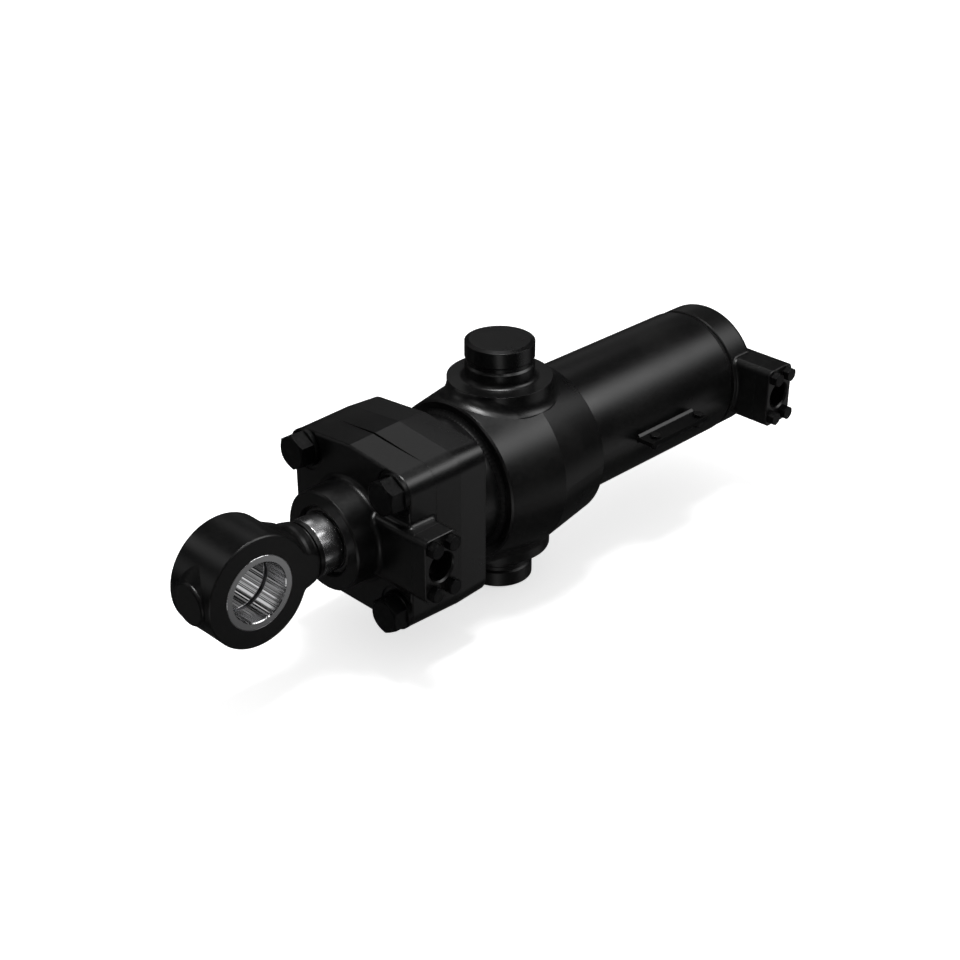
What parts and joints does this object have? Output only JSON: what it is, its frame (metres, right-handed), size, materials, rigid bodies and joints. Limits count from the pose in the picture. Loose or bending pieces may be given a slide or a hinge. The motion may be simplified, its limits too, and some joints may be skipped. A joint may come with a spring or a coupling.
{
  "type": "hydraulic cylinder",
  "caption": "Heavy double-acting hydraulic cylinder with a bolted square head, side trunnion pins, a forged rod eye and two bolted port flanges.",
  "frame": {"origin": "where the axis of the two trunnion pins meets the cylinder's axis", "axes": "+X along the cylinder towards the rod eye, +Y the way the ports and the eye's bore open, +Z along the trunnion pins"},
  "size_m": [1.253, 0.3629, 0.457],
  "materials": {
    "black_paint": "satin black paint",
    "black_oxide": "black painted steel fasteners",
    "hard_chrome": "hard chrome, ground and polished",
    "machined_steel": "bright turned steel",
    "nitrile_rubber": "moulded",
    "filled_ptfe": "bronze-filled, moulded"
  },
  "bodies": {
    "barrel": {"barrel_tube": "black_paint", "barrel_flange": "black_paint", "flange_weld": "black_paint", "trunnion_collar": "black_paint", "collar_welds": "black_paint", "rear_cap": "black_paint", "cap_weld": "black_paint", "head_gland": "black_paint", "head_bolt_washers": "black_oxide", "head_bolts": "black_oxide", "head_port_flange": "black_paint", "head_port_bolts": "black_oxide", "head_port_o_ring": "nitrile_rubber", "rear_port_flange": "black_paint", "rear_port_bolts": "black_oxide", "rear_port_o_ring": "nitrile_rubber", "rod_wiper": "nitrile_rubber", "rod_seal": "nitrile_rubber", "rod_buffer_seal": "filled_ptfe", "rod_guide_rings": "filled_ptfe", "gland_o_ring": "nitrile_rubber", "gland_backup_ring": "filled_ptfe", "bracket_plate": "black_paint", "bracket_welds": "black_paint", "bracket_bolts": "black_oxide", "bracket_nuts": "black_oxide"},
    "piston_seals": {"piston_seal": "filled_ptfe", "piston_seal_energiser": "nitrile_rubber", "piston_wear_rings": "filled_ptfe"},
    "rod": {"piston_rod": "hard_chrome", "rod_eye": "black_paint", "eye_bush_port_side": "machined_steel", "eye_bush_far_side": "machined_steel", "piston": "machined_steel", "piston_o_ring": "nitrile_rubber", "piston_nut": "machined_steel", "nut_set_screw": "black_oxide", "cushion_sleeve": "machined_steel"}
  },
  "joints": [
    {"name": "rod_stroke", "type": "slide", "parent": "barrel", "child": "piston_seals", "axis": [1, 0, 0], "range_m": [0, 0.58]},
    {"name": "rod_turn", "type": "hinge", "parent": "piston_seals", "child": "rod", "pos_m": [0, 0, 0], "axis": [1, 0, 0], "continuous": true}
  ]
}
